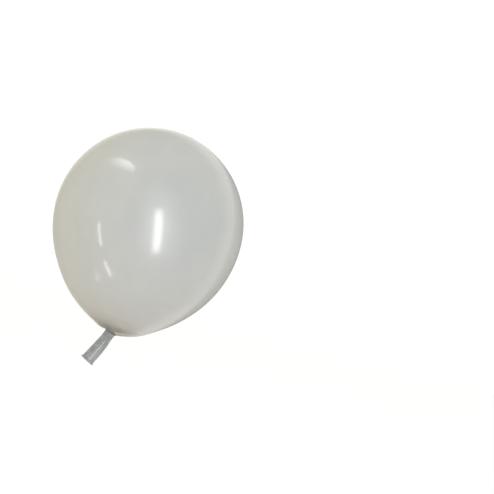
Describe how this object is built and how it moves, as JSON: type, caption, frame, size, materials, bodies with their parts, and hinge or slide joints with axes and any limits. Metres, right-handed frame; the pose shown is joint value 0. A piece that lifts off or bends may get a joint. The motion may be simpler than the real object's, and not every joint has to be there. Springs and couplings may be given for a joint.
{
  "type": "round latex balloon",
  "caption": "Small round latex balloon, blown up and held shut by its pinched neck, with an open neck sleeve and a rolled lip.",
  "frame": {"origin": "middle of the pinch, where the neck is held shut", "axes": "+Z along the body's axis, up to the crown; +X to the right and -Y to the front, as in the picture; the neck is drawn aside towards -X"},
  "size_m": [0.127, 0.127, 0.1665],
  "materials": {
    "latex_stretched": "thin stretched latex, pearly grey, glossy and slightly see-through",
    "latex_shoulder": "less stretched latex, a denser warm grey, glossy",
    "latex_neck": "unstretched latex, mid grey, satin"
  },
  "bodies": {
    "root": {"crown_spot": "latex_shoulder", "envelope": "latex_stretched", "shoulder": "latex_shoulder", "neck_gather": "latex_neck", "neck_sleeve": "latex_neck", "mouth_bead": "latex_neck"}
  },
  "joints": []
}
